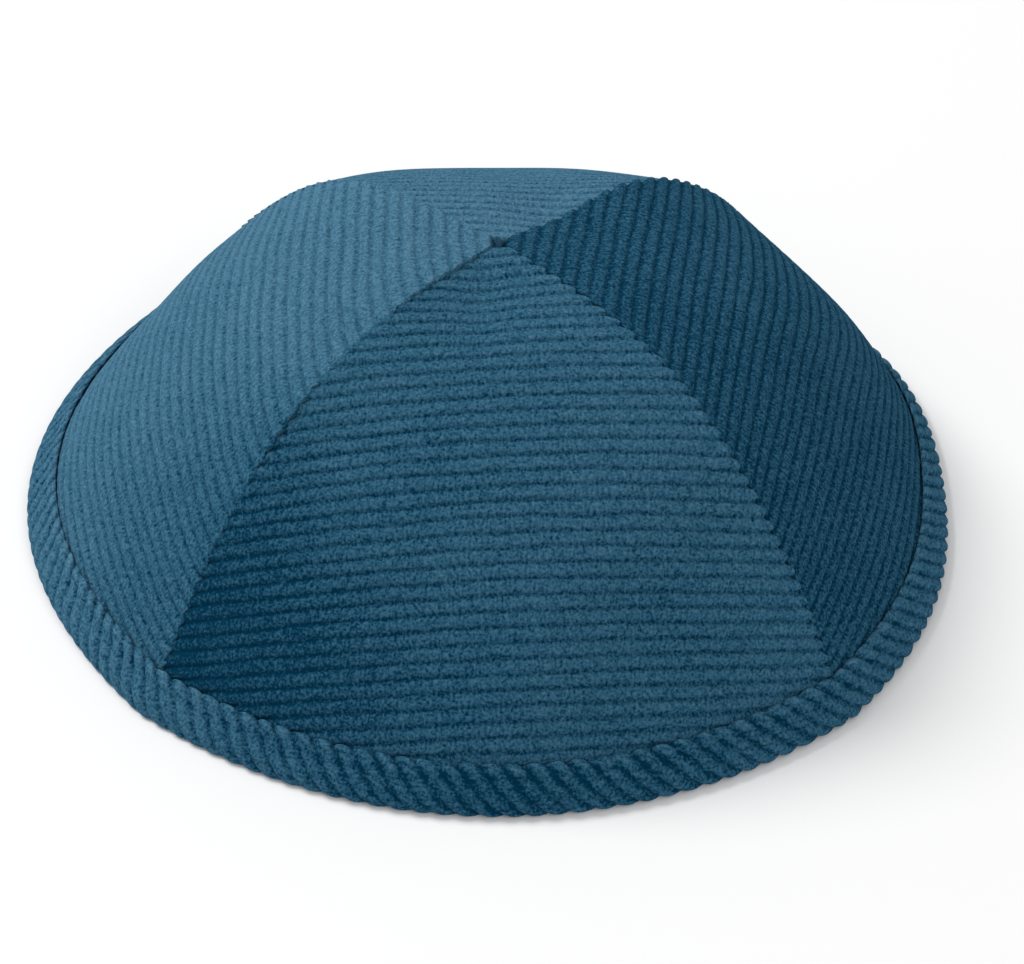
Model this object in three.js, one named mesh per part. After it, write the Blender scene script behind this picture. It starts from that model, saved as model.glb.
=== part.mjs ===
// A kippah skullcap: four corduroy gores sewn into a dome, and a bias strip of the same cloth round the rim.
// Millimetres, +Z up. The rim rests on z = 0, the origin is under its middle, and the front gore faces -Y.
import * as THREE from 'three';

// The corduroy. A wale is one ridge of the pile, and a groove lies on each side of it.
const WALES_PER_INCH = 11;
const WALE_PITCH = 25.4 / WALES_PER_INCH;
const GROOVE_DEPTH = 0.6;
const CLOTH_THICKNESS = 1.6;
const CLOTH_COLOUR = 0x2f5f7b;
const CLOTH_ROUGHNESS = 0.95;
const PIECE_GAP = 0.3;

// The crown. The first groove of each gore is this far from the point where the four tips would meet, which
// leaves the small hole that shows at the top. The crown leans a little as the cap stands on a table.
const CROWN_HEIGHT = 51.2;
const FIRST_GROOVE = 0.45 * WALE_PITCH;
const CUT_EDGE_HEIGHT = 2.2;
const LEAN_FRONT = 3;
const LEAN_RIGHT = 0.8;

// The soft cap doesn't stand quite round. Each row is a place where it bulges or falls in: how far to the
// right and to the back of the middle, how far it spreads, and how far the cloth moves out, for a point at the
// rim, and up, for a point as high as the top. The whole is then set over the origin again.
const SOFT_PLACES = [
  { right: 73, back: 6, spread: 30, out: -2.7, up: 0 },
  { right: 47, back: -56, spread: 34, out: 0.7, up: 0 },
  { right: -63, back: -36, spread: 42, out: -0.7, up: 0 },
  { right: 52, back: 16, spread: 20, out: 4, up: 0 },
  { right: -20, back: 33, spread: 14, out: 0, up: 0.7 },
  { right: 22, back: 33, spread: 14, out: 0, up: 0.6 },
  { right: -38, back: 36, spread: 14, out: 0, up: -1.5 },
  { right: 9, back: 9, spread: 9, out: 0, up: -1.6 },
];
const SET_RIGHT = 0.8;
const SET_BACK = 0.1;

// Down the middle of a gore: how many wales from the top, how steeply the cloth falls there in degrees, and
// how many millimetres the ends of a wale drop where it is SAG_SPAN wide.
const SAG_SPAN = 100;
const CROWN_ROWS = [
  { wales: 0, slope: 1, sag: -2 },
  { wales: 5, slope: 8, sag: 2 },
  { wales: 10, slope: 20, sag: 5.5 },
  { wales: 15, slope: 31.5, sag: 9 },
  { wales: 20, slope: 38.5, sag: 12.5 },
  { wales: 25, slope: 45, sag: 14.8 },
  { wales: 30, slope: 50, sag: 16.2 },
  { wales: 36, slope: 56, sag: 16.6 },
  { wales: 44, slope: 66, sag: 16 },
];

// The gores, turned about +Z from the front in degrees. The cloth isn't cut quite true, so tilt is how far a
// wale rises to the right, over its length. Each gore may have a soft dip: how deep, how many wales down and
// how far to the side its middle is, and how far it spreads down and across.
const GORES = [
  { name: 'front', turn: 0, tilt: 0.06, dip: 1.1, dipWales: 5.5, dipSide: -2.5, dipDown: 7, dipAcross: 9 },
  { name: 'right', turn: 90, tilt: -0.14, dip: 0.4, dipWales: 7, dipSide: 0, dipDown: 8, dipAcross: 8 },
  { name: 'back', turn: 180, tilt: 0, dip: 1.3, dipWales: 13, dipSide: 0, dipDown: 18, dipAcross: 24 },
  { name: 'left', turn: 270, tilt: 0, dip: 0.2, dipWales: 7, dipSide: 0, dipDown: 8, dipAcross: 8 },
];

// One wale of a gore, from a groove over the flat of the ridge: how far along the pitch, and how deep.
const WALE_SHAPE = [
  { along: 0, depth: GROOVE_DEPTH },
  { along: 0.28, depth: 0 },
  { along: 0.72, depth: 0 },
];

// How finely a gore is faceted: how many facets lie along a wale, and how many wales one facet of the smooth
// inside spans, above and below the wale where the rim begins to cut the gore.
const FACETS_ALONG = 5;
const INSIDE_WALES = 5;
const INSIDE_WALES_AT_RIM = 1;
const RIM_CUT_WALE = 32;

// Across the binding, from its outer top edge over the fold and up the inside, then back through the fold
// beside the gores. Height is above the table, out is how far outside the gores' outer face at that height,
// and groove is how far out or in a groove of the strip moves that point.
const BINDING_SECTION = [
  { height: 6.2, out: 0.6, groove: -0.1 },
  { height: 5.5, out: 1.8, groove: -0.5 },
  { height: 2.6, out: 2.3, groove: -0.7 },
  { height: 0.8, out: 1.6, groove: -0.9 },
  { height: 0, out: 0.2, groove: -0.6 },
  { height: 0, out: -2.4, groove: 0 },
  { height: 1.4, out: -4.5, groove: 0.4 },
  { height: 5.8, out: -3.6, groove: 0 },
  { height: 1.8, out: -3, groove: 0 },
  { height: 1.8, out: 0.4, groove: 0 },
];
const RIM_RADIUS = 73;
const BIAS_PITCH = WALE_PITCH * Math.SQRT2;
const RIM_WALES = Math.round((2 * Math.PI * RIM_RADIUS) / BIAS_PITCH);

const CENTRE_STEP = 0.25;
const LONGEST_DOWN = 44 * WALE_PITCH;

// A smooth curve through one column of the crown table.
function crownColumn(down, column) {
  const wales = down / WALE_PITCH;
  const last = CROWN_ROWS.length - 1;
  const row = (n) => CROWN_ROWS[THREE.MathUtils.clamp(n, 0, last)];
  const rise = (n) => (row(n + 1)[column] - row(n - 1)[column]) / (row(n + 1).wales - row(n - 1).wales);
  let n = 0;
  while (n < last - 1 && CROWN_ROWS[n + 1].wales < wales) n += 1;
  const span = row(n + 1).wales - row(n).wales;
  const t = THREE.MathUtils.clamp((wales - row(n).wales) / span, 0, 1);
  const t2 = t * t;
  const t3 = t2 * t;
  return (
    (2 * t3 - 3 * t2 + 1) * row(n)[column] +
    (t3 - 2 * t2 + t) * span * rise(n) +
    (3 * t2 - 2 * t3) * row(n + 1)[column] +
    (t3 - t2) * span * rise(n + 1)
  );
}

const slopeAt = (down) => THREE.MathUtils.degToRad(crownColumn(down, 'slope'));

// The line down the middle of a gore, added up from the top in short steps.
const CENTRE_LINE = [{ radius: 0, height: CROWN_HEIGHT }];
for (let down = CENTRE_STEP / 2; down < LONGEST_DOWN; down += CENTRE_STEP) {
  const above = CENTRE_LINE[CENTRE_LINE.length - 1];
  CENTRE_LINE.push({
    radius: above.radius + Math.cos(slopeAt(down)) * CENTRE_STEP,
    height: above.height - Math.sin(slopeAt(down)) * CENTRE_STEP,
  });
}

function centreAt(down) {
  const n = Math.min(Math.floor(down / CENTRE_STEP), CENTRE_LINE.length - 2);
  const t = down / CENTRE_STEP - n;
  return {
    radius: THREE.MathUtils.lerp(CENTRE_LINE[n].radius, CENTRE_LINE[n + 1].radius, t),
    height: THREE.MathUtils.lerp(CENTRE_LINE[n].height, CENTRE_LINE[n + 1].height, t),
    slope: slopeAt(down),
    bow: (8 * crownColumn(down, 'sag')) / SAG_SPAN ** 2,
  };
}

function dipAt(gore, down, across) {
  const along = (down - gore.dipWales * WALE_PITCH) / gore.dipDown;
  const aside = (across - gore.dipSide) / gore.dipAcross;
  return gore.dip * Math.exp(-along * along - aside * aside);
}

// A point of a gore as the front one stands: on the wale that crosses the middle line that far down, across
// along it, and some depth into the cloth.
function gorePoint(gore, wale, across, depth) {
  const down = Math.max(wale - gore.tilt * across, 0);
  const { radius, height, slope, bow } = centreAt(down);
  const sag = (bow * across * across) / 2;
  const outward = new THREE.Vector3(bow * across, -Math.sin(slope), Math.cos(slope)).normalize();
  const point = new THREE.Vector3(across, sag * Math.sin(slope) - radius, height - sag * Math.cos(slope));
  return point.addScaledVector(outward, -depth - dipAt(gore, down, across));
}

// Halves the range between a value that fits and one that doesn't.
function lastThatFits(fits, good, bad) {
  for (let n = 0; n < 40; n += 1) {
    const middle = (good + bad) / 2;
    if (fits(middle)) good = middle;
    else bad = middle;
  }
  return good;
}

// A gore ends half a gap short of the upright planes through its two seams, and at its cut edge.
function insideGore(point) {
  const toSeam = (-point.y - Math.abs(point.x)) / Math.SQRT2;
  return toSeam > PIECE_GAP / 2 && point.z > CUT_EDGE_HEIGHT;
}

// Joins two rows of points, the upper and the lower, with triangles that face whoever sees the rows run left
// to right.
function joinRows(upper, lower, faces) {
  let i = 0;
  let j = 0;
  while (i < upper.length - 1 || j < lower.length - 1) {
    const nextUpper = (i + 1) * (lower.length - 1);
    const nextLower = (j + 1) * (upper.length - 1);
    const moveUpper = j === lower.length - 1 || (i < upper.length - 1 && nextUpper <= nextLower);
    faces.push(upper[i], lower[j], moveUpper ? upper[i + 1] : lower[j + 1]);
    if (moveUpper) i += 1;
    else j += 1;
  }
}

// Moves a point of the true, round cap to where it is in the soft cap, as that leans on the table.
function stood(point) {
  let out = 0;
  let up = 0;
  for (const place of SOFT_PLACES) {
    const away = Math.hypot(point.x - place.right, point.y - place.back) / place.spread;
    const share = Math.exp(-away * away);
    out += place.out * share;
    up += place.up * share;
  }
  const wider = 1 + out / RIM_RADIUS;
  const raised = point.z / CROWN_HEIGHT;
  return new THREE.Vector3(
    point.x * wider + LEAN_RIGHT * raised + SET_RIGHT,
    point.y * wider - LEAN_FRONT * raised + SET_BACK,
    point.z + up * raised,
  );
}

function clothMesh(name, points, faces) {
  const geometry = new THREE.BufferGeometry().setFromPoints(points.map(stood));
  geometry.setIndex(faces);
  geometry.computeVertexNormals();
  const cloth = new THREE.MeshStandardMaterial({
    color: CLOTH_COLOUR,
    roughness: CLOTH_ROUGHNESS,
    metalness: 0,
  });
  const mesh = new THREE.Mesh(geometry, cloth);
  mesh.name = name;
  return mesh;
}

// One gore: the ribbed outside, the smooth inside, and the narrow faces between them all round.
function makeGore(gore) {
  const points = [];
  const faces = [];
  const turn = THREE.MathUtils.degToRad(gore.turn);

  function row(down, depth) {
    const fits = (across) => insideGore(gorePoint(gore, down, across, depth));
    const left = lastThatFits(fits, 0, -RIM_RADIUS);
    const right = lastThatFits(fits, 0, RIM_RADIUS);
    const made = [];
    for (let n = 0; n <= FACETS_ALONG; n += 1) {
      const across = THREE.MathUtils.lerp(left, right, n / FACETS_ALONG);
      made.push(points.length);
      points.push(gorePoint(gore, down, across, depth).applyAxisAngle(new THREE.Vector3(0, 0, 1), turn));
    }
    return made;
  }

  const reachesDown = (depth) => (down) => insideGore(gorePoint(gore, down, 0, depth));
  const lowest = lastThatFits(reachesDown(CLOTH_THICKNESS), FIRST_GROOVE, LONGEST_DOWN) - PIECE_GAP;
  const wholeWales = Math.floor((lowest - FIRST_GROOVE) / WALE_PITCH);
  const outside = [];
  const inside = [];
  for (let n = 0; n < wholeWales; n += 1) {
    const groove = FIRST_GROOVE + n * WALE_PITCH;
    const insideStep = n < RIM_CUT_WALE ? INSIDE_WALES : INSIDE_WALES_AT_RIM;
    for (const { along, depth } of WALE_SHAPE) outside.push(row(groove + along * WALE_PITCH, depth));
    if (n % insideStep === 0) inside.push(row(groove, CLOTH_THICKNESS));
  }
  outside.push(row(lowest, GROOVE_DEPTH));
  inside.push(row(lowest, CLOTH_THICKNESS));

  const rights = (rows) => rows.map((made) => made[made.length - 1]);
  const lefts = (rows) => rows.map((made) => made[0]);
  for (let n = 1; n < outside.length; n += 1) joinRows(outside[n - 1], outside[n], faces);
  for (let n = 1; n < inside.length; n += 1) {
    joinRows(inside[n - 1].toReversed(), inside[n].toReversed(), faces);
  }
  joinRows(inside[0], outside[0], faces);
  joinRows(outside[outside.length - 1], inside[inside.length - 1], faces);
  joinRows(rights(inside), rights(outside), faces);
  joinRows(lefts(outside), lefts(inside), faces);
  return clothMesh(`crown_panel_${gore.name}`, points, faces);
}

// How far the crown's outer face is from the axis at some bearing and height, with the dips left out.
function crownRadius(bearing, height) {
  const quarter = Math.PI / 2;
  const fromMiddle = bearing - Math.round(bearing / quarter) * quarter;
  const t = Math.tan(Math.abs(fromMiddle));
  const at = (down) => {
    const centre = centreAt(down);
    const bend = 2 * centre.bow * Math.sin(centre.slope) * t * t * centre.radius;
    const across = (2 * centre.radius * t) / (1 + Math.sqrt(1 + bend));
    const sag = (centre.bow * across * across) / 2;
    return {
      radius: Math.hypot(centre.radius - sag * Math.sin(centre.slope), across),
      height: centre.height - sag * Math.cos(centre.slope),
    };
  };
  const down = lastThatFits((tried) => at(tried).height > height, 0, LONGEST_DOWN);
  return at(down).radius;
}

// The binding: its section carried round the rim. Each column runs on the bias, so its edges follow the
// ridges and the grooves.
function makeBinding() {
  const points = [];
  const faces = [];
  const columns = 2 * RIM_WALES;
  const size = BINDING_SECTION.length;
  const lipToLip = BINDING_SECTION.findIndex((row) => row.groove === 0 && row.height > CUT_EDGE_HEIGHT);
  const travelled = [0];
  for (let n = 1; n <= lipToLip; n += 1) {
    const one = BINDING_SECTION[n - 1];
    const next = BINDING_SECTION[n];
    travelled.push(travelled[n - 1] + Math.hypot(next.height - one.height, next.out - one.out));
  }
  for (let n = lipToLip + 1; n < size; n += 1) {
    travelled.push((travelled[lipToLip] * (size - n)) / (size - lipToLip));
  }
  for (let column = 0; column < columns; column += 1) {
    const isGroove = column % 2 === 0;
    BINDING_SECTION.forEach((row, n) => {
      const bearing = (column / columns) * 2 * Math.PI + travelled[n] / RIM_RADIUS;
      const radius = crownRadius(bearing, row.height) + row.out + (isGroove ? row.groove : 0);
      points.push(new THREE.Vector3(radius * Math.cos(bearing), radius * Math.sin(bearing), row.height));
    });
  }
  for (let column = 0; column < columns; column += 1) {
    const next = (column + 1) % columns;
    for (let n = 0; n < size; n += 1) {
      const below = (n + 1) % size;
      const [a, b] = [column * size + n, next * size + n];
      const [c, d] = [column * size + below, next * size + below];
      faces.push(a, c, b, b, c, d);
    }
  }
  return clothMesh('rim_binding', points, faces);
}

const kippah = new THREE.Group();
kippah.name = 'kippah_skullcap';
for (const gore of GORES) kippah.add(makeGore(gore));
kippah.add(makeBinding());

export default kippah;
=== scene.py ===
"""The looks of a corduroy kippah: four ribbed gores and their bias-cut rim binding, on a pale table."""

import math

import bpy
import numpy as np
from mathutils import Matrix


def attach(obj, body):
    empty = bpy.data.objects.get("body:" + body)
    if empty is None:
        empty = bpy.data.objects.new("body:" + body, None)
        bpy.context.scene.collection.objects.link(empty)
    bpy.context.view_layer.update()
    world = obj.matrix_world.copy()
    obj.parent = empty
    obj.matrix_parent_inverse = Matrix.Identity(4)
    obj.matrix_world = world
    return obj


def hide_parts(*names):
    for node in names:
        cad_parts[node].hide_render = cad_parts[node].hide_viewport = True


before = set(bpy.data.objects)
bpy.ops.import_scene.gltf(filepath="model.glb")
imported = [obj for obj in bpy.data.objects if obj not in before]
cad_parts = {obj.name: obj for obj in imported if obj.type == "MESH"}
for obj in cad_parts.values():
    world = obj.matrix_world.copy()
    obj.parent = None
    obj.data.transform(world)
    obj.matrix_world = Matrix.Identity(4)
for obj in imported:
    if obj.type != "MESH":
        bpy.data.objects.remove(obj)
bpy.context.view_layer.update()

# The crown: four gores of blue cotton corduroy, cut as triangles with the ribs level, so that the ribs of
# two neighbours meet in a mitre at the seam. They are sewn right sides together and turned out, with the
# allowances pressed one way, so one edge of each seam stands a little proud of the other.
WALE = 0.0254 / 11
GROOVE_AT = 0.45
GROOVE_DEPTH = 0.0003
CLOTH = 0.0014
CROWN_HEIGHT = 0.0512
CUT_EDGE_HEIGHT = 0.0022
LEAN_FRONT = 0.003
LEAN_RIGHT = 0.0008
RIM_RADIUS = 0.073
# Where the soft cap bulges or falls in: the middle of the place, to the right and to the back, how far it
# spreads, and how far the cloth moves out, for a point at the rim, and up, for a point as high as the top.
SOFT_PLACES = (
    {"right": 0.073, "back": 0.006, "spread": 0.030, "out": -0.0027, "up": 0},
    {"right": 0.047, "back": -0.056, "spread": 0.034, "out": 0.0007, "up": 0},
    {"right": -0.063, "back": -0.036, "spread": 0.042, "out": -0.0007, "up": 0},
    {"right": 0.052, "back": 0.016, "spread": 0.020, "out": 0.004, "up": 0},
    {"right": -0.020, "back": 0.033, "spread": 0.014, "out": 0, "up": 0.0007},
    {"right": 0.022, "back": 0.033, "spread": 0.014, "out": 0, "up": 0.0006},
    {"right": -0.038, "back": 0.036, "spread": 0.014, "out": 0, "up": -0.0015},
    {"right": 0.009, "back": 0.009, "spread": 0.009, "out": 0, "up": -0.0016},
)
# The whole cap is then set over the origin again.
SET_RIGHT = 0.0008
SET_BACK = 0.0001
SAG_SPAN = 0.1
# Down the middle of a gore: how many wales from the top, how steeply the cloth falls there in degrees, and
# how many millimetres the ends of a wale drop where it is SAG_SPAN wide.
CROWN = {
    "wales": (0, 5, 10, 15, 20, 25, 30, 36, 44),
    "slope": (1, 8, 20, 31.5, 38.5, 45, 50, 56, 66),
    "sag": (-2, 2, 5.5, 9, 12.5, 14.8, 16.2, 16.6, 16),
}


def smooth_column(wales, column):
    """A smooth curve through one column of the crown table."""
    knots = np.array(CROWN["wales"], float)
    values = np.array(CROWN[column], float)
    after = np.append(np.arange(1, len(knots)), len(knots) - 1)
    before = np.append(0, np.arange(len(knots) - 1))
    rise = (values[after] - values[before]) / (knots[after] - knots[before])
    n = np.clip(np.searchsorted(knots, wales, side="right") - 1, 0, len(knots) - 2)
    span = knots[n + 1] - knots[n]
    t = np.clip((wales - knots[n]) / span, 0, 1)
    return (
        (2 * t**3 - 3 * t**2 + 1) * values[n]
        + (t**3 - 2 * t**2 + t) * span * rise[n]
        + (3 * t**2 - 2 * t**3) * values[n + 1]
        + (t**3 - t**2) * span * rise[n + 1]
    )


# The line down the middle of a gore, added up from the top in short steps.
CENTRE_STEP = 0.0001
centre_down = np.arange(0, CROWN["wales"][-1] * WALE, CENTRE_STEP)
centre_slope = np.radians(smooth_column((centre_down + CENTRE_STEP / 2) / WALE, "slope"))
centre_radius = np.append(0, np.cumsum(np.cos(centre_slope) * CENTRE_STEP))[:-1]
centre_height = CROWN_HEIGHT - np.append(0, np.cumsum(np.sin(centre_slope) * CENTRE_STEP))[:-1]
centre_bow = 8 * smooth_column(centre_down / WALE, "sag") / 1000 / SAG_SPAN**2


def ripple(x, y, size, seed):
    """Smooth uneven waves of about that size, between -1 and 1, the same on every run."""
    waves = 14
    chance = np.random.default_rng(seed)
    total = np.zeros(np.broadcast(x, y).shape)
    for turn in np.linspace(0, math.pi, waves, endpoint=False):
        length = size * chance.uniform(0.7, 1.6)
        phase = chance.uniform(0, 2 * math.pi)
        turned = turn + chance.uniform(-0.1, 0.1)
        total += np.sin((x * math.cos(turned) + y * math.sin(turned)) * 2 * math.pi / length + phase)
    return total / math.sqrt(waves) / 1.5


def rib(phase, sharpness):
    """The height of the pile across one wale, from 0 in the groove to 1 on the ridge."""
    return 1 - np.abs(np.cos(np.pi * phase)) ** sharpness


def stood(x, y, z):
    """Moves points of the true, round cap to where they are in the soft cap, as that leans on the table."""
    out = np.zeros(len(x))
    up = np.zeros(len(x))
    for spot in SOFT_PLACES:
        share = np.exp(-((x - spot["right"]) ** 2 + (y - spot["back"]) ** 2) / spot["spread"] ** 2)
        out += spot["out"] * share
        up += spot["up"] * share
    wider = 1 + out / RIM_RADIUS
    raised = z / CROWN_HEIGHT
    return (
        x * wider + LEAN_RIGHT * raised + SET_RIGHT,
        y * wider - LEAN_FRONT * raised + SET_BACK,
        z + up * raised,
    )


def cloth_grid(name, columns, rows):
    """A flat grid, and the column and row of each of its points, ready to be moved into place."""
    bpy.ops.object.select_all(action="DESELECT")
    bpy.ops.mesh.primitive_grid_add(x_subdivisions=columns, y_subdivisions=rows, size=1)
    piece = bpy.context.object
    piece.name = name
    piece.data.name = name
    flat = np.empty(len(piece.data.vertices) * 3)
    piece.data.vertices.foreach_get("co", flat)
    flat = flat.reshape(-1, 3)
    column = np.rint((flat[:, 0] + 0.5) * columns).astype(int)
    row = np.rint((flat[:, 1] + 0.5) * rows).astype(int)
    return piece, column, row


def lay_cloth(piece, place, wale_map, marks):
    """Moves the grid's points to their place, stores their wales and their marks, and closes the cloth."""
    mesh = piece.data
    mesh.vertices.foreach_set("co", np.stack(place, axis=1).astype(np.float32).ravel())
    corner_point = np.empty(len(mesh.loops), int)
    mesh.loops.foreach_get("vertex_index", corner_point)
    on_corners = np.stack(wale_map, axis=1)[corner_point]
    mesh.uv_layers.active.data.foreach_set("uv", on_corners.astype(np.float32).ravel())
    for mark, values in marks.items():
        layer = mesh.attributes.new(mark, "FLOAT", "POINT")
        layer.data.foreach_set("value", values.astype(np.float32))
    bpy.ops.object.mode_set(mode="EDIT")
    bpy.ops.mesh.select_all(action="SELECT")
    bpy.ops.mesh.remove_doubles(threshold=1e-6)
    bpy.ops.mesh.normals_make_consistent(inside=False)
    bpy.ops.object.mode_set(mode="OBJECT")
    bpy.ops.object.shade_smooth()


class Shade:
    """A socket of a material, so that sums on it read as plain Python and add the nodes that they need."""

    def __init__(self, tree, socket=None):
        self.tree = tree
        self.socket = socket

    def node(self, kind, settings, sockets, output=0):
        made = self.tree.nodes.new(kind)
        for name, value in settings.items():
            setattr(made, name, value)
        for name, value in sockets.items():
            if isinstance(value, Shade):
                self.tree.links.new(value.socket, made.inputs[name])
            else:
                made.inputs[name].default_value = value
        return Shade(self.tree, made.outputs[output])

    def maths(self, operation, first, second):
        return self.node("ShaderNodeMath", {"operation": operation}, {0: first, 1: second})

    def __add__(self, other):
        return self.maths("ADD", self, other)

    def __radd__(self, other):
        return self.maths("ADD", other, self)

    def __sub__(self, other):
        return self.maths("SUBTRACT", self, other)

    def __rsub__(self, other):
        return self.maths("SUBTRACT", other, self)

    def __mul__(self, other):
        return self.maths("MULTIPLY", self, other)

    def __rmul__(self, other):
        return self.maths("MULTIPLY", other, self)

    def __neg__(self):
        return self.maths("MULTIPLY", self, -1)

    def __abs__(self):
        return self.maths("ABSOLUTE", self, 0)

    def __pow__(self, other):
        return self.maths("POWER", self, other)

    def cosine(self):
        return self.maths("COSINE", self, 0)

    def clamped(self, low, high):
        return self.node("ShaderNodeClamp", {}, {"Value": self, "Min": low, "Max": high})


# The pile's colour runs from DARK_BLUE through MIDDLE_BLUE to LIGHT_BLUE as its level rises. The level mixes
# the pile's own speckle with painted light and shade, and the whiter LIGHT_BLUE holds a painted sheen of the
# lit pile.
DARK_BLUE = (0.0004, 0.0300, 0.0660, 1)
MIDDLE_BLUE = (0.0230, 0.0940, 0.1600, 1)
LIGHT_BLUE = (0.0920, 0.2140, 0.3140, 1)
BACK_BLUE = (0.020, 0.075, 0.125)
SHEEN_BLUE = (0.25, 0.62, 0.90, 1)
MIDDLE_LEVEL = 0.4
LIGHT_LEVEL = 1.3
FIBRES_PER_METRE = 2300
PATCHES_PER_METRE = 60
# How strongly each of these lightens and darkens the pile, and how rough and raised the pile is.
SPECKLE = 1.8
TICKS = 0.8
PATCHES = 0.3
RAGGEDNESS = 0.5
PILE_ROUGHNESS = 0.9
PILE_STRENGTH = 0.8
PILE_HEIGHT = 0.00025
WEAVE_PER_WALE = 6


def corduroy(name, sharpness, groove_shade):
    """Cotton corduroy: a soft pile of short fibres, narrow ragged grooves, and a plain woven back."""
    material = bpy.data.materials.new(name)
    material.use_nodes = True
    tree = material.node_tree
    shader = tree.nodes["Principled BSDF"]
    make = Shade(tree)

    def mark(kind):
        return make.node("ShaderNodeAttribute", {"attribute_name": kind}, {}, "Fac")

    def noise(place, scale, detail):
        sockets = {"Vector": place, "Scale": scale, "Detail": detail, "Roughness": 0.6}
        return make.node("ShaderNodeTexNoise", {}, sockets) - 0.5

    def stretched(place, along, across):
        return make.node("ShaderNodeMapping", {}, {"Vector": place, "Scale": (along, across, 1)})

    def mix(share, first, second):
        return make.node("ShaderNodeMix", {"data_type": "RGBA"}, {"Factor": share, 6: first, 7: second}, 2)

    place = make.node("ShaderNodeTexCoord", {}, {}, "Object")
    wales = make.node("ShaderNodeUVMap", {"uv_map": "UVMap"}, {})
    wale = make.node("ShaderNodeSeparateXYZ", {}, {"Vector": wales}, "Y")
    pile = mark("pile")

    speckle = noise(place, FIBRES_PER_METRE, 2)
    ticks = noise(stretched(wales, along=5.5, across=1.3), 1, 2)
    patches = noise(place, PATCHES_PER_METRE, 3)
    ragged = noise(stretched(wales, along=4.5, across=1.6), 1, 3)
    # Painted light and shade: how brightly each piece's pile would be lit by the lamps and its sheen, set as
    # colour.
    painted_light = mark("painted_light")
    fibre = (speckle * SPECKLE + ticks * TICKS) * (0.8 + painted_light * 0.5)
    groove = abs(((wale + ragged * RAGGEDNESS) * math.pi).cosine()) ** sharpness
    # Painted shade darkens the grooves, where the ridges on either side would shade them.
    level = painted_light + fibre + patches * PATCHES - groove * groove_shade - mark("shade")
    darker = mix((level * (1 / MIDDLE_LEVEL)).clamped(0, 1), DARK_BLUE, MIDDLE_BLUE)
    lighter = ((level - MIDDLE_LEVEL) * (1 / (LIGHT_LEVEL - MIDDLE_LEVEL))).clamped(0, 1)
    pile_blue = mix(lighter, darker, LIGHT_BLUE)

    threads = stretched(wales, WEAVE_PER_WALE, WEAVE_PER_WALE)
    weave = make.node("ShaderNodeTexChecker", {}, {"Vector": threads, "Scale": 1}, "Fac")
    back_sockets = {0: BACK_BLUE, "Scale": 0.85 + weave * 0.2 + fibre * 0.4}
    back_blue = make.node("ShaderNodeVectorMath", {"operation": "SCALE"}, back_sockets)
    tree.links.new(mix(pile, back_blue, pile_blue).socket, shader.inputs["Base Color"])

    relief = (speckle * 1.2 + ticks * 0.8 - groove * 0.5) * pile + weave * 0.3 * (1 - pile)
    bump_sockets = {"Strength": PILE_STRENGTH, "Distance": PILE_HEIGHT, "Height": relief}
    bump = make.node("ShaderNodeBump", {}, bump_sockets)
    tree.links.new(bump.socket, shader.inputs["Normal"])
    tree.links.new((PILE_ROUGHNESS + speckle * 0.2).socket, shader.inputs["Roughness"])
    shader.inputs["Specular IOR Level"].default_value = 0.0
    shader.inputs["Sheen Weight"].default_value = 0.06
    shader.inputs["Sheen Roughness"].default_value = 0.5
    shader.inputs["Sheen Tint"].default_value = SHEEN_BLUE
    return material


# Each gore: its turn about the middle; how far its wales rise to the right, hook up at the right seam and
# droop at their ends, above and below; its soft dip; and the painted light and shade on its pile, in the
# middle, and how much that changes over 5 cm to the right and down.
GORES = (
    {
        "name": "front",
        "turn": 0,
        "tilt": 0.060,
        "hook": 0.0,
        "droop": (-0.0003, 0.0012),
        "dip": {"deep": 0.0011, "wales": 5.5, "side": -0.0025, "down": 0.007, "across": 0.009},
        "painted_light": (0.51, 0.03, -0.06),
    },
    {
        "name": "right",
        "turn": 90,
        "tilt": -0.140,
        "hook": 0.0,
        "droop": (0.0012, 0.0006),
        "dip": {"deep": 0.0004, "wales": 7, "side": 0, "down": 0.008, "across": 0.008},
        "painted_light": (0.28, 0.04, 0.04),
    },
    {
        "name": "back",
        "turn": 180,
        "tilt": 0.020,
        "hook": 0.0,
        "droop": (0.0002, 0.0002),
        "dip": {"deep": 0.0013, "wales": 13, "side": 0, "down": 0.018, "across": 0.024},
        "painted_light": (0.85, 0.0, -0.10),
    },
    {
        "name": "left",
        "turn": 270,
        "tilt": 0.0,
        "hook": 0.0014,
        "droop": (0.0003, 0.0003),
        "dip": {"deep": 0.0002, "wales": 7, "side": 0, "down": 0.008, "across": 0.008},
        "painted_light": (0.85, -0.25, -0.05),
    },
)
# A crease that runs down from the top in the front gore.
CREASE = {"deep": 0.0008, "wales": 5, "side": -0.003, "down": 0.009, "across": 0.0035}
# Patches of painted shade, where the pile is made darker: the middle of the patch and how far it spreads.
PAINTED_SHADE_PATCHES = (
    {"gore": "front", "level": -0.36, "wales": 29, "side": -0.047, "down": 0.032, "across": 0.024},
    {"gore": "front", "level": -0.08, "wales": 33, "side": -0.010, "down": 0.014, "across": 0.050},
    {"gore": "left", "level": -0.26, "wales": 20, "side": 0.040, "down": 0.030, "across": 0.016},
)
PAINTED_LIGHT_SPAN = 0.05
PAINTED_LIGHT_MIDDLE = 0.045
DROOP_SPAN = 0.03
GROOVE_SHARPNESS = 8
UNEVEN_SIZE = 0.006
SEAM_SHADE = 0.14
PIT_SHADE = 0.6
ROWS_PER_WALE = 10
PILE_COLUMNS = 156
BACK_COLUMNS = 40
SEAM_GAP = 0.00004
SEAM_ROLL_DEPTH = 0.00006
SEAM_NOTCH_DEPTH = 0.0003
SEAM_ROLL_WIDTH = 0.0009
SEAM_WAVE = 0.0005
HOOK_WIDTH = 0.012
PROUD_EDGE = 0.00008
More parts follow.
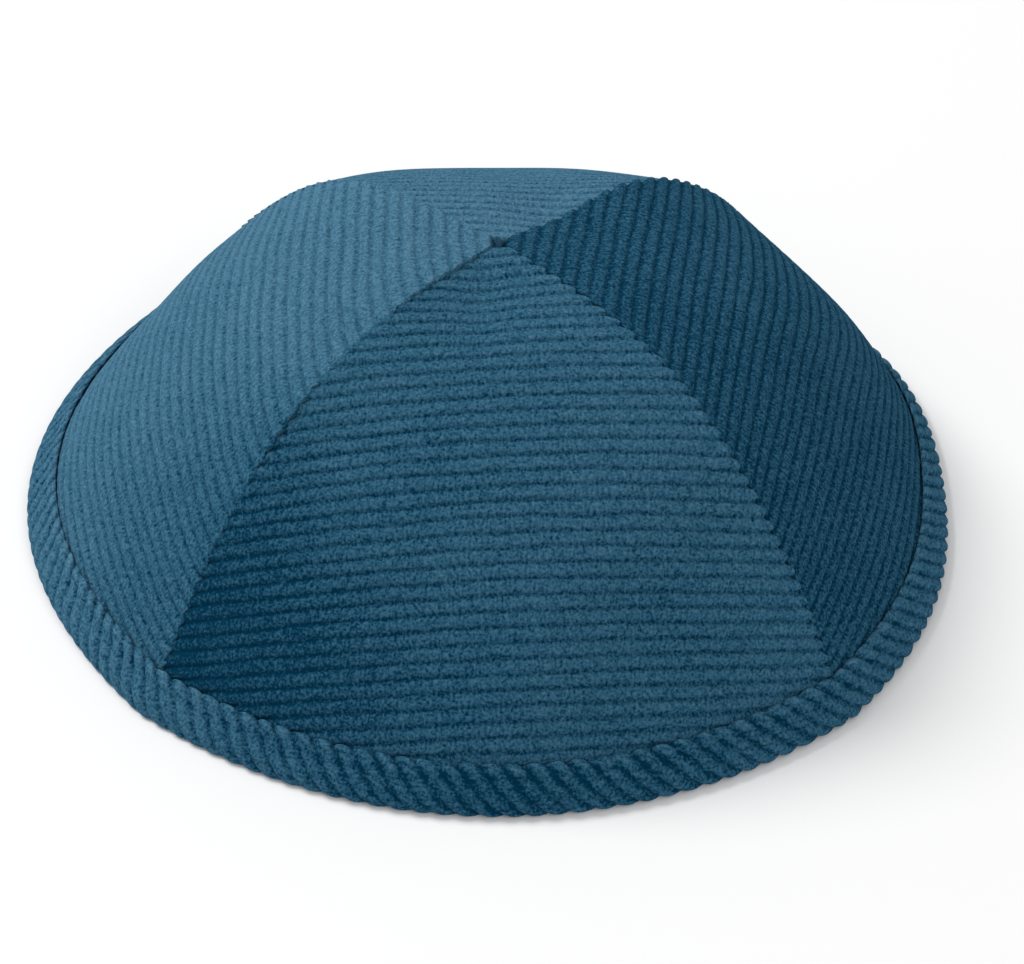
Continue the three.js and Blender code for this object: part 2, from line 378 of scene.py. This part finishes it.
SUNK_EDGE = 0.00004
EDGE_FADE = 0.004
TIP_FADE = 0.012
ALLOWANCE_WIDTH = 0.007
ALLOWANCE_DEPTH = 0.0006
ALLOWANCE_STEP = 0.0004
TOP_PIT_DEPTH = 0.0022
TOP_PIT_WIDTH = 0.0010
WOBBLE = 0.00013
WOBBLE_SIZE = 0.016
WOBBLE_SQUEEZE = 2.5
SMALL_WOBBLE = 0.00006
SMALL_WOBBLE_SIZE = 0.0045
SWELL = 0.00028
SWELL_SIZE = 0.028
SWELL_FADE = 0.008

# One ring of points goes across the pile from the left seam to the right one, and back across the inside.
pile_across = np.sin(np.linspace(-math.pi / 2, math.pi / 2, PILE_COLUMNS + 1))
back_across = -np.sin(np.linspace(-math.pi / 2, math.pi / 2, BACK_COLUMNS + 1))
ring_across = np.concatenate([pile_across, back_across, pile_across[:1]])
ring_pile = np.concatenate([np.ones(PILE_COLUMNS + 1), np.zeros(BACK_COLUMNS + 1), [1]])

# The rows start on the axis, keep step with the grooves, and end where the gore's middle meets its cut edge.
lowest = np.interp(-CUT_EDGE_HEIGHT, -centre_height, centre_down)
row_wales = np.arange(GROOVE_AT % (1 / ROWS_PER_WALE), lowest / WALE, 1 / ROWS_PER_WALE)
row_down = np.concatenate([[0], row_wales * WALE, [lowest]])


def wale_phase(gore, down, across):
    """How many wales a point is from the first groove of its gore."""
    droop = np.interp(down, [0, lowest], gore["droop"]) * (across / DROOP_SPAN) ** 2
    return (down + gore["tilt"] * across - droop) / WALE - GROOVE_AT


def soft_patch(patch, down, across):
    """A soft round spot, 1 in the middle of the patch and 0 far from it."""
    along = (down - patch["wales"] * WALE) / patch["down"]
    aside = (across - patch["side"]) / patch["across"]
    return np.exp(-(along**2) - aside**2)


gore_corduroy = corduroy("corduroy", sharpness=7, groove_shade=0.24)

for number, gore in enumerate(GORES):
    node = "crown_panel_" + gore["name"]
    piece, column, row = cloth_grid("gore_" + gore["name"], len(ring_across) - 1, len(row_down) - 1)
    down = row_down[row]
    share = ring_across[column]
    pile = ring_pile[column]

    radius = np.interp(down, centre_down, centre_radius)
    height = np.interp(down, centre_down, centre_height)
    slope = np.interp(down, centre_down, centre_slope)
    bow = np.interp(down, centre_down, centre_bow)
    to_seam = 2 * radius / (1 + np.sqrt(1 + 2 * bow * np.sin(slope) * radius))
    to_rim = np.sqrt(np.maximum(height - CUT_EDGE_HEIGHT, 0) * 2 / np.maximum(bow * np.cos(slope), 1e-3))
    half_width = np.maximum(np.minimum(to_seam, to_rim) - SEAM_GAP, 0)
    tip_fade = np.clip(down / TIP_FADE, 0, 1)
    seam_fade = tip_fade * np.clip((to_rim - half_width) / TIP_FADE, 0, 1)
    # The rib ends at the right edge reach a little over the seam, and the next gore makes room for them.
    own_wave = SEAM_WAVE * seam_fade * (rib(wale_phase(gore, down, half_width), 2) - 0.5)
    next_wave = SEAM_WAVE * seam_fade * (rib(wale_phase(GORES[number - 1], down, half_width), 2) - 0.5)
    width = half_width + np.where(share > 0, own_wave, -next_wave)
    across = share * width
    from_edge = width - np.abs(across)

    seed = 40 * (number + 1)
    wobble = WOBBLE * ripple(across, down * WOBBLE_SQUEEZE, WOBBLE_SIZE, seed)
    wobble += SMALL_WOBBLE * ripple(across, down * WOBBLE_SQUEEZE, SMALL_WOBBLE_SIZE, seed + 3)
    hook = gore["hook"] * np.where(share > 0, np.clip(1 - from_edge / HOOK_WIDTH, 0, 1), 0) ** 2
    phase = wale_phase(gore, down, across) + (wobble + hook * tip_fade) / WALE
    uneven = 0.95 + 0.2 * ripple(across, down * 1.5, UNEVEN_SIZE, seed + 1)
    groove = (1 - rib(phase, GROOVE_SHARPNESS)) * np.clip(uneven, 0.5, 1.2)
    off_rim = np.clip((height - bow * across**2 / 2 - SWELL_FADE) / SWELL_FADE, 0, 1)
    swell = SWELL * ripple(across, down, SWELL_SIZE, seed + 2) * off_rim
    dip = gore["dip"]["deep"] * soft_patch(gore["dip"], down, across)
    if gore["name"] == "front":
        dip += CREASE["deep"] * soft_patch(CREASE, down, across)
    edge = np.clip(1 - from_edge / SEAM_ROLL_WIDTH, 0, 1) ** 2
    roll = edge * (SEAM_ROLL_DEPTH + SEAM_NOTCH_DEPTH * groove)
    edge_set = np.where(share > 0, -PROUD_EDGE, SUNK_EDGE) * np.exp(-((from_edge / EDGE_FADE) ** 2))
    pit = np.exp(-((down / TOP_PIT_WIDTH) ** 4))
    allowance = ALLOWANCE_DEPTH / (1 + np.exp((from_edge - ALLOWANCE_WIDTH) / ALLOWANCE_STEP))
    pile_depth = groove * GROOVE_DEPTH + (roll + edge_set) * seam_fade
    face_depth = np.where(pile > 0.5, pile_depth, CLOTH + allowance)
    depth = dip + swell * tip_fade + TOP_PIT_DEPTH * pit + face_depth

    tilt = 1 / np.sqrt(1 + (bow * across) ** 2)
    sag = bow * across**2 / 2
    x = across - depth * bow * across * tilt
    y = sag * np.sin(slope) - radius + depth * np.sin(slope) * tilt
    z = height - sag * np.cos(slope) - depth * np.cos(slope) * tilt
    wedge = np.maximum(-y - SEAM_GAP, 0)
    x = np.clip(x, next_wave - wedge, wedge + own_wave)
    turn = math.radians(gore["turn"])
    turned = stood(x * math.cos(turn) - y * math.sin(turn), x * math.sin(turn) + y * math.cos(turn), z)

    # Painted light and shade on this gore's pile: its level from the table above, with the patches of
    # painted shade.
    middle, per_right, per_down = gore["painted_light"]
    painted_light = middle + per_right * across / PAINTED_LIGHT_SPAN + per_down * (down - PAINTED_LIGHT_MIDDLE) / PAINTED_LIGHT_SPAN
    # Darker patches of painted shade.
    for patch in PAINTED_SHADE_PATCHES:
        if patch["gore"] == gore["name"]:
            painted_light += patch["level"] * soft_patch(patch, down, across)
    marks = {"painted_light": painted_light, "pile": pile, "shade": edge * SEAM_SHADE * groove + PIT_SHADE * pit}
    lay_cloth(piece, turned, (across / WALE, phase), marks)
    piece.data.materials.append(gore_corduroy)
    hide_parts(node)
    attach(piece, "root")

# The rim binding: a strip of the same corduroy cut on the bias, folded over the raw edges of the gores and
# stitched through just below its top edge, so its ribs run slanting round the rim and end in small tufts.
RIM_WALES = round(2 * math.pi * RIM_RADIUS / (WALE * math.sqrt(2)))
COLUMNS_PER_WALE = 10
STITCH_PLACE = 4
STITCH_SPREAD = 0.55
LIP_PLACE = 2.4
LIP_SPREAD = 1.5
TUFT_SIZE = 0.0022
TUFT_RISE = 0.0001
TUFT_SHADE = 0.20
SECTION_STEPS = 60
INNER_EDGE_PLACE = 16
# How much painted light the binding's pile carries all round, and more of it on its left side and its right
# side.
STRIP_PAINTED_LIGHT = 0.24
STRIP_PAINTED_LIGHT_LEFT = 0.50
STRIP_PAINTED_LIGHT_RIGHT = 0.32
# Painted highlight on the curls of pile at the fold.
CURL_HIGHLIGHT = 0.12
STRIP_UNEVEN_SIZE = 0.006
SWING = 0.10
SWING_SIZE = 0.009
# Height above the table, distance outside the gores' outer face, depth of a groove, and rise of a tuft
# where a rib ends, in millimetres, from the outer top edge over the fold to the inner top edge, then back
# through the inside of the fold.
SECTION = {
    "height": (
        5.6, 6.2, 6.3, 5.8, 5.0, 4.0, 2.8, 1.5, 0.5, 0.05,
        0.0, 0.25, 1.2, 3.0, 4.8, 5.7, 5.5, 2.2, 1.9, 3.8,
    ),
    "out": (
        0.14, 0.14, 0.5, 1.0, 1.3, 1.75, 2.2, 2.1, 1.5, 0.5,
        -1.0, -2.5, -3.9, -4.5, -4.3, -3.8, -3.2, -2.9, 0.2, 0.3,
    ),
    "groove": (
        0, 0.05, 0.15, 0.3, 0.55, 0.7, 0.8, 1.0, 1.3, 1.1,
        0.4, 0.4, 0.5, 0.6, 0.5, 0.3, 0, 0, 0, 0,
    ),
    "tuft": (
        0.1, 0.35, 0.4, 0.25, 0, 0, 0, 0, 0, 0,
        0, 0, 0, 0, 0.1, 0.2, 0.1, 0, 0, 0,
    ),
}


def closed_curve(values, places):
    """A smooth closed curve through the values, read at places counted in values."""
    values = np.array(values, float)
    n = np.floor(places).astype(int)
    t = places - n
    before, one, two, after = (values[(n + k) % len(values)] for k in (-1, 0, 1, 2))
    return 0.5 * (
        2 * one
        + (two - before) * t
        + (2 * before - 5 * one + 4 * two - after) * t**2
        + (3 * one - before - 3 * two + after) * t**3
    )


def crown_radius(bearing, height):
    """How far the crown's outer face is from the axis at some bearing, at one height."""
    quarter = math.pi / 2
    t = np.tan(np.abs(bearing - np.rint(bearing / quarter) * quarter))
    middles = np.linspace(0, 1, 46)
    found = []
    for middle in middles:
        bend = 2 * centre_bow * np.sin(centre_slope) * middle**2 * centre_radius
        across = 2 * centre_radius * middle / (1 + np.sqrt(1 + bend))
        sag = centre_bow * across**2 / 2
        reach = np.hypot(centre_radius - sag * np.sin(centre_slope), across)
        found.append(np.interp(-height, -(centre_height - sag * np.cos(centre_slope)), reach))
    return np.interp(t, middles, found)


section_places = np.linspace(0, len(SECTION["height"]), SECTION_STEPS + 1)
section_height = np.maximum(closed_curve(SECTION["height"], section_places), 0) / 1000
section_out = closed_curve(SECTION["out"], section_places) / 1000
section_groove = np.maximum(closed_curve(SECTION["groove"], section_places), 0) / 1000
section_tuft = closed_curve(SECTION["tuft"], section_places) / 1000
section_stitch = np.exp(-(((section_places - STITCH_PLACE) / STITCH_SPREAD) ** 2))
# Counted round the closed section, so that its last row meets its first.
half_round = len(SECTION["height"]) / 2
from_lip = (section_places - LIP_PLACE + half_round) % (2 * half_round) - half_round
section_lip = np.exp(-((from_lip / LIP_SPREAD) ** 2))
section_pile = np.where(section_places < INNER_EDGE_PLACE, 1, 0)
step_height = np.gradient(np.concatenate([section_height[-2:-1], section_height, section_height[1:2]]))[1:-1]
step_out = np.gradient(np.concatenate([section_out[-2:-1], section_out, section_out[1:2]]))[1:-1]
step_length = np.hypot(step_height, step_out)
normal_height = step_out / step_length
normal_out = -step_height / step_length
travelled = np.append(0, np.cumsum(np.hypot(np.diff(section_height), np.diff(section_out))))
inner_edge = np.interp(INNER_EDGE_PLACE, section_places, travelled)
skew = np.minimum(travelled, inner_edge * (travelled[-1] - travelled) / (travelled[-1] - inner_edge))

piece, column, row = cloth_grid("rim_strip", RIM_WALES * COLUMNS_PER_WALE, SECTION_STEPS)
phase = column / COLUMNS_PER_WALE
bearing = phase / RIM_WALES * 2 * math.pi + skew[row] / RIM_RADIUS
east = RIM_RADIUS * np.cos(bearing) + 3 * section_height[row]
north = RIM_RADIUS * np.sin(bearing)
uneven = np.clip(0.95 + 0.25 * ripple(east, north, STRIP_UNEVEN_SIZE, 301), 0.5, 1.25)
swing = SWING * ripple(east, north, SWING_SIZE, 302)
tube = 2 * np.abs(phase + swing - np.rint(phase + swing))
groove = (1 - np.sqrt(np.maximum(1 - (1 - tube) ** 2, 0))) * uneven
stitch = section_stitch[row]
tufts = ripple(east, north + 2 * section_height[row], TUFT_SIZE, 303) * section_lip[row]
cut = groove * section_groove[row] - TUFT_RISE * (tufts + section_lip[row] * 0.5)
reach = np.zeros(len(row))
for station in range(SECTION_STEPS + 1):
    here = row == station
    reach[here] = crown_radius(bearing[here], section_height[station])
reach = reach + section_out[row] - cut * normal_out[row]
tuft = section_tuft[row] * (1 - 2 * groove) * (0.7 + 0.5 * uneven)
height = np.maximum(section_height[row] - cut * normal_height[row] + tuft, 0)
place = stood(reach * np.cos(bearing), reach * np.sin(bearing), height)
# Painted light on the binding, more where its sides face left and right, where the lamps would light it
# more.
to_right = np.cos(bearing)
painted_light = STRIP_PAINTED_LIGHT + STRIP_PAINTED_LIGHT_LEFT * np.maximum(-to_right, 0) + STRIP_PAINTED_LIGHT_RIGHT * np.maximum(to_right, 0)
# Painted highlights on the curls of pile along the top edges of the fold.
curl_highlight = np.maximum(section_tuft[row] / section_tuft.max(), 0) * (1 - groove)
shade = stitch * (0.04 + 0.3 * groove) - TUFT_SHADE * tufts
marks = {"painted_light": painted_light + CURL_HIGHLIGHT * curl_highlight, "pile": section_pile[row], "shade": shade}
lay_cloth(piece, place, (travelled[row] / WALE, phase), marks)
piece.data.materials.append(corduroy("binding_corduroy", sharpness=5, groove_shade=0.30))
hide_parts("rim_binding")
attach(piece, "root")

# The table: a plain pale sheet under the cap.
FLOOR_SIZE = 6
FLOOR_WHITE = (0.93, 0.93, 0.93, 1)
bpy.ops.object.select_all(action="DESELECT")
bpy.ops.mesh.primitive_plane_add(size=FLOOR_SIZE)
floor = bpy.context.object
floor.name = "pale_table"
table_white = bpy.data.materials.new("pale_table")
table_white.use_nodes = True
table_white.node_tree.nodes["Principled BSDF"].inputs["Base Color"].default_value = FLOOR_WHITE
table_white.node_tree.nodes["Principled BSDF"].inputs["Roughness"].default_value = 0.9
table_white.node_tree.nodes["Principled BSDF"].inputs["Specular IOR Level"].default_value = 0.1
floor.data.materials.append(table_white)

# The studio: a wide soft lamp high on the left behind the cap, a weaker one in front, and pale walls.
LAMPS = (
    {"name": "key", "place": (-0.9, 0.55, 1.15), "size": 0.7, "power": 16},
    {"name": "fill", "place": (0.5, -1.1, 1.0), "size": 1.2, "power": 6},
)
WALL_LIGHT = 0.5
for lamp in LAMPS:
    bpy.ops.object.light_add(type="AREA", location=lamp["place"])
    light = bpy.context.object
    light.name = "lamp_" + lamp["name"]
    light.data.shape = "DISK"
    light.data.size = lamp["size"]
    light.data.energy = lamp["power"]
    away = -light.location
    light.rotation_euler = away.to_track_quat("-Z", "Y").to_euler()
walls = bpy.data.worlds.new("pale_walls")
walls.use_nodes = True
walls.node_tree.nodes["Background"].inputs["Color"].default_value = (1, 1, 1, 1)
walls.node_tree.nodes["Background"].inputs["Strength"].default_value = WALL_LIGHT
bpy.context.scene.world = walls
bpy.context.scene.view_settings.view_transform = "Standard"

# The camera looks down on the front gore from a little over half a metre, as in the photograph.
VIEW_RISE = math.radians(38.9)
VIEW_TURN = math.radians(-0.48)
VIEW_ROLL = math.radians(0.62)
VIEW_DISTANCE = 0.5565
AIM = (0.0039, 0.0013, 0.0015)
LENS = 123.2
bpy.ops.object.camera_add()
camera = bpy.context.object
camera.name = "photo_camera"
camera.data.lens = LENS
camera.data.sensor_width = 36
camera.location = (
    VIEW_DISTANCE * math.cos(VIEW_RISE) * math.sin(VIEW_TURN) + SET_RIGHT,
    -VIEW_DISTANCE * math.cos(VIEW_RISE) * math.cos(VIEW_TURN) + SET_BACK,
    VIEW_DISTANCE * math.sin(VIEW_RISE),
)
toward = camera.location.copy()
toward.x = AIM[0] - camera.location.x
toward.y = AIM[1] - camera.location.y
toward.z = AIM[2] - camera.location.z
facing = toward.to_track_quat("-Z", "Y").to_matrix().to_euler()
camera.rotation_euler = facing
camera.rotation_euler.rotate_axis("Z", VIEW_ROLL)
camera.data.clip_start = 0.01
camera.data.clip_end = 20
bpy.context.scene.camera = camera
